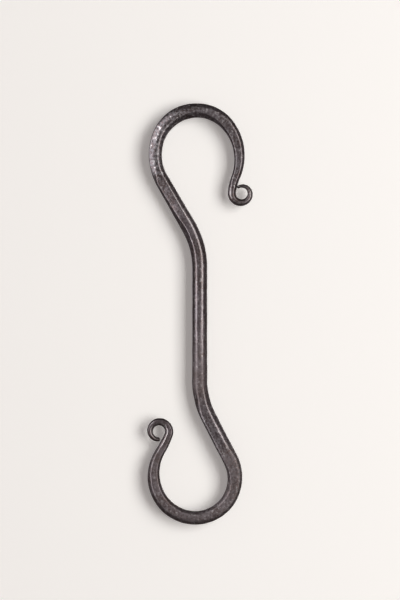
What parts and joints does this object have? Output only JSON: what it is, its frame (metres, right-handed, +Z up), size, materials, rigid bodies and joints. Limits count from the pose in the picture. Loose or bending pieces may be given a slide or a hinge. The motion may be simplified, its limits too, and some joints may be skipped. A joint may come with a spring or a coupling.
{
  "type": "meat hook",
  "caption": "Hand-forged steel S-hook for hanging meat from a rail: opposed round hooks on a straight shank, with drawn-out points rolled into small eyes.",
  "frame": {"origin": "crown of the upper hook's inside, the seat where the rail carries the hook, in the middle of the bar's thickness", "axes": "+Z up as the hook hangs, along the straight shank; +X across the S, towards the side of the upper eye; +Y through the thickness, towards the back flat"},
  "size_m": [0.0545, 0.008, 0.2193],
  "materials": {
    "forged_steel": "dark forge scale, wire-brushed and oiled, with hammer marks and worn arrises"
  },
  "bodies": {
    "root": {"upper_eye": "forged_steel", "upper_hook": "forged_steel", "shank": "forged_steel", "lower_hook": "forged_steel", "lower_eye": "forged_steel"}
  },
  "joints": []
}
